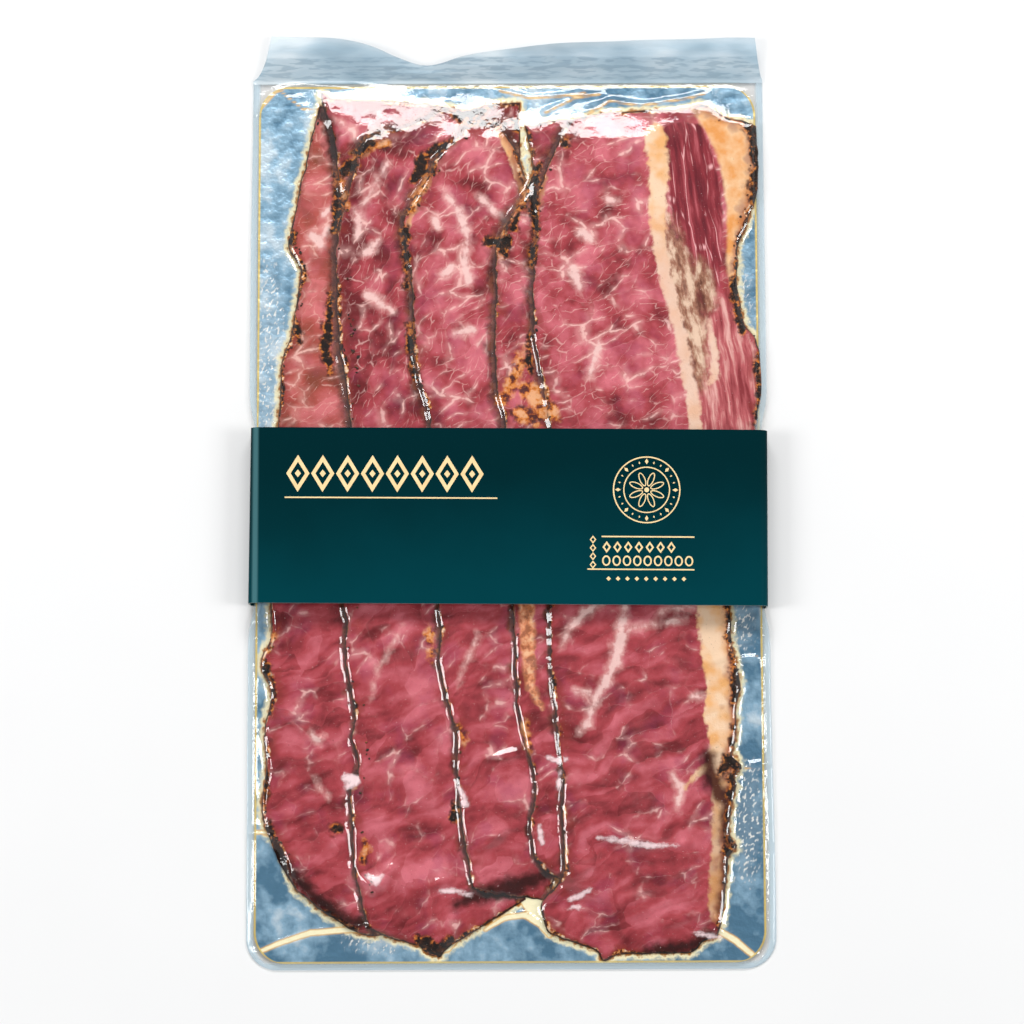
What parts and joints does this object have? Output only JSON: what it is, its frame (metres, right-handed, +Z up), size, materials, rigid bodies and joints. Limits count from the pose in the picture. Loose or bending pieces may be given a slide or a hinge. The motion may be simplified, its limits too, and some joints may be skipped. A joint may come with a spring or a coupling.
{
  "type": "sliced pastrami pack",
  "caption": "Clear vacuum pack of long shingled pastrami slices on a stiff board, with a paperboard sleeve round the middle and a wavy film header.",
  "frame": {"origin": "middle of the pack's box, on the surface that it lies on", "axes": "+Y along the pack to the film header, +Z up out of the shown face, +X to the right of the shown face"},
  "size_m": [0.134, 0.2432, 0.0088],
  "materials": {
    "film_and_meat": "cured meat under tight clear glossy film",
    "sleeve_card": "smooth printed dark teal card, pale cut edges"
  },
  "bodies": {
    "root": {"pouch": "film_and_meat", "sleeve": "sleeve_card"}
  },
  "joints": []
}
